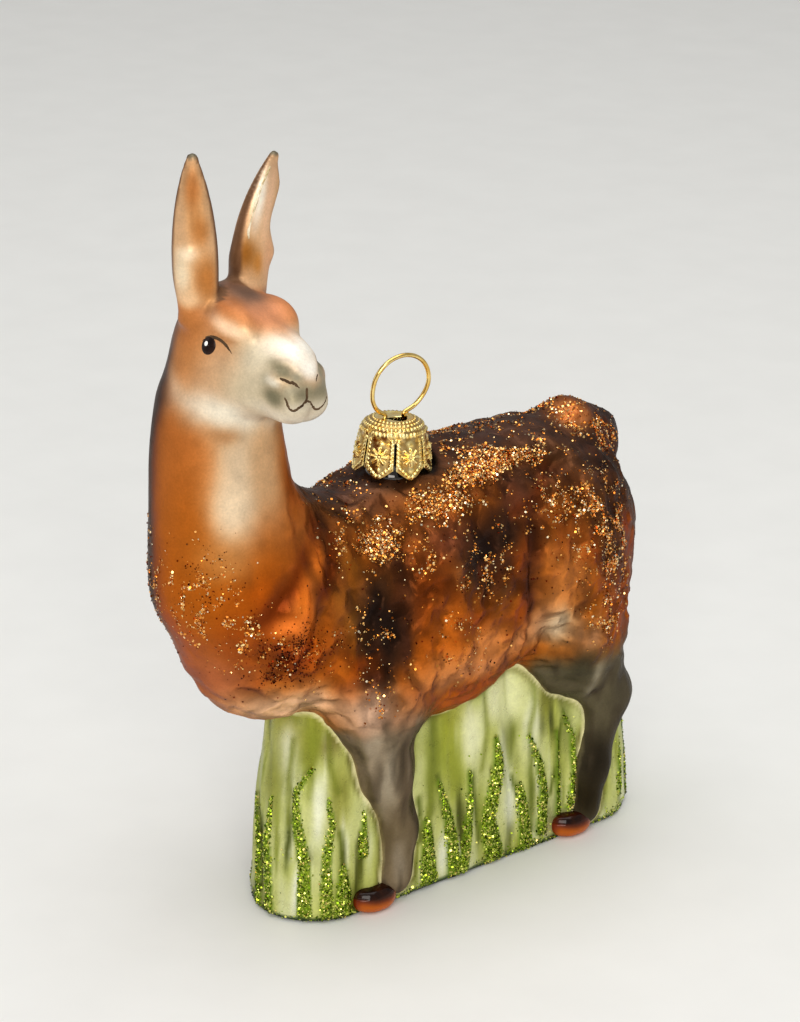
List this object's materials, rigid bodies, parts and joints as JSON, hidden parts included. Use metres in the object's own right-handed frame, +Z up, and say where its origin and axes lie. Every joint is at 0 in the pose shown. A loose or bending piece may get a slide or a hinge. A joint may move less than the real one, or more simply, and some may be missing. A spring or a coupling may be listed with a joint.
{
  "type": "blown glass llama christmas ornament",
  "caption": "Mould-blown glass llama ornament standing over a block of grass, head turned aside, with a gold crown cap and wire hanging loop.",
  "frame": {"origin": "on the flat underside of the grass block, midway between its two sides and under the middle of the llama", "axes": "+Z up, -Y the way the llama's body faces, +X its left side, toward which the head is turned"},
  "size_m": [0.0334, 0.0837, 0.1149],
  "materials": {
    "lacquered_glass": "satin brown, cream and grey lacquer over silvered glass, with copper glitter",
    "grass_lacquer": "satin yellow-green lacquer over silvered glass, with green glitter blades",
    "hoof_lacquer": "glossy red-brown lacquer",
    "eye_enamel": "glossy dark enamel with a white highlight",
    "white_enamel": "glossy white enamel dot",
    "bare_glass": "clear glass neck, silvered inside",
    "gold_crown": "thin bright gold sheet metal, embossed",
    "gold_wire": "bright gold spring wire",
    "copper_glitter": "bright copper and gold foil flakes",
    "green_glitter": "bright green foil flakes"
  },
  "bodies": {
    "figure": {"head": "lacquered_glass", "ear_left": "lacquered_glass", "ear_right": "lacquered_glass", "eye_left": "eye_enamel", "eye_right": "eye_enamel", "neck": "lacquered_glass", "trunk": "lacquered_glass", "tail": "lacquered_glass", "leg_front_left": "lacquered_glass", "leg_front_right": "lacquered_glass", "leg_hind_left": "lacquered_glass", "leg_hind_right": "lacquered_glass", "hoof_front_left": "hoof_lacquer", "hoof_front_right": "hoof_lacquer", "hoof_hind_left": "hoof_lacquer", "hoof_hind_right": "hoof_lacquer", "grass_base": "grass_lacquer", "glass_neck": "bare_glass"},
    "cap": {"cap_crown": "gold_crown", "hanger_loop": "gold_wire"}
  },
  "joints": [
    {"name": "cap_turn", "type": "hinge", "parent": "figure", "child": "cap", "pos_m": [0.001, -0.00984, 0.06416], "axis": [0, 0.0645, 0.9979], "continuous": true}
  ]
}
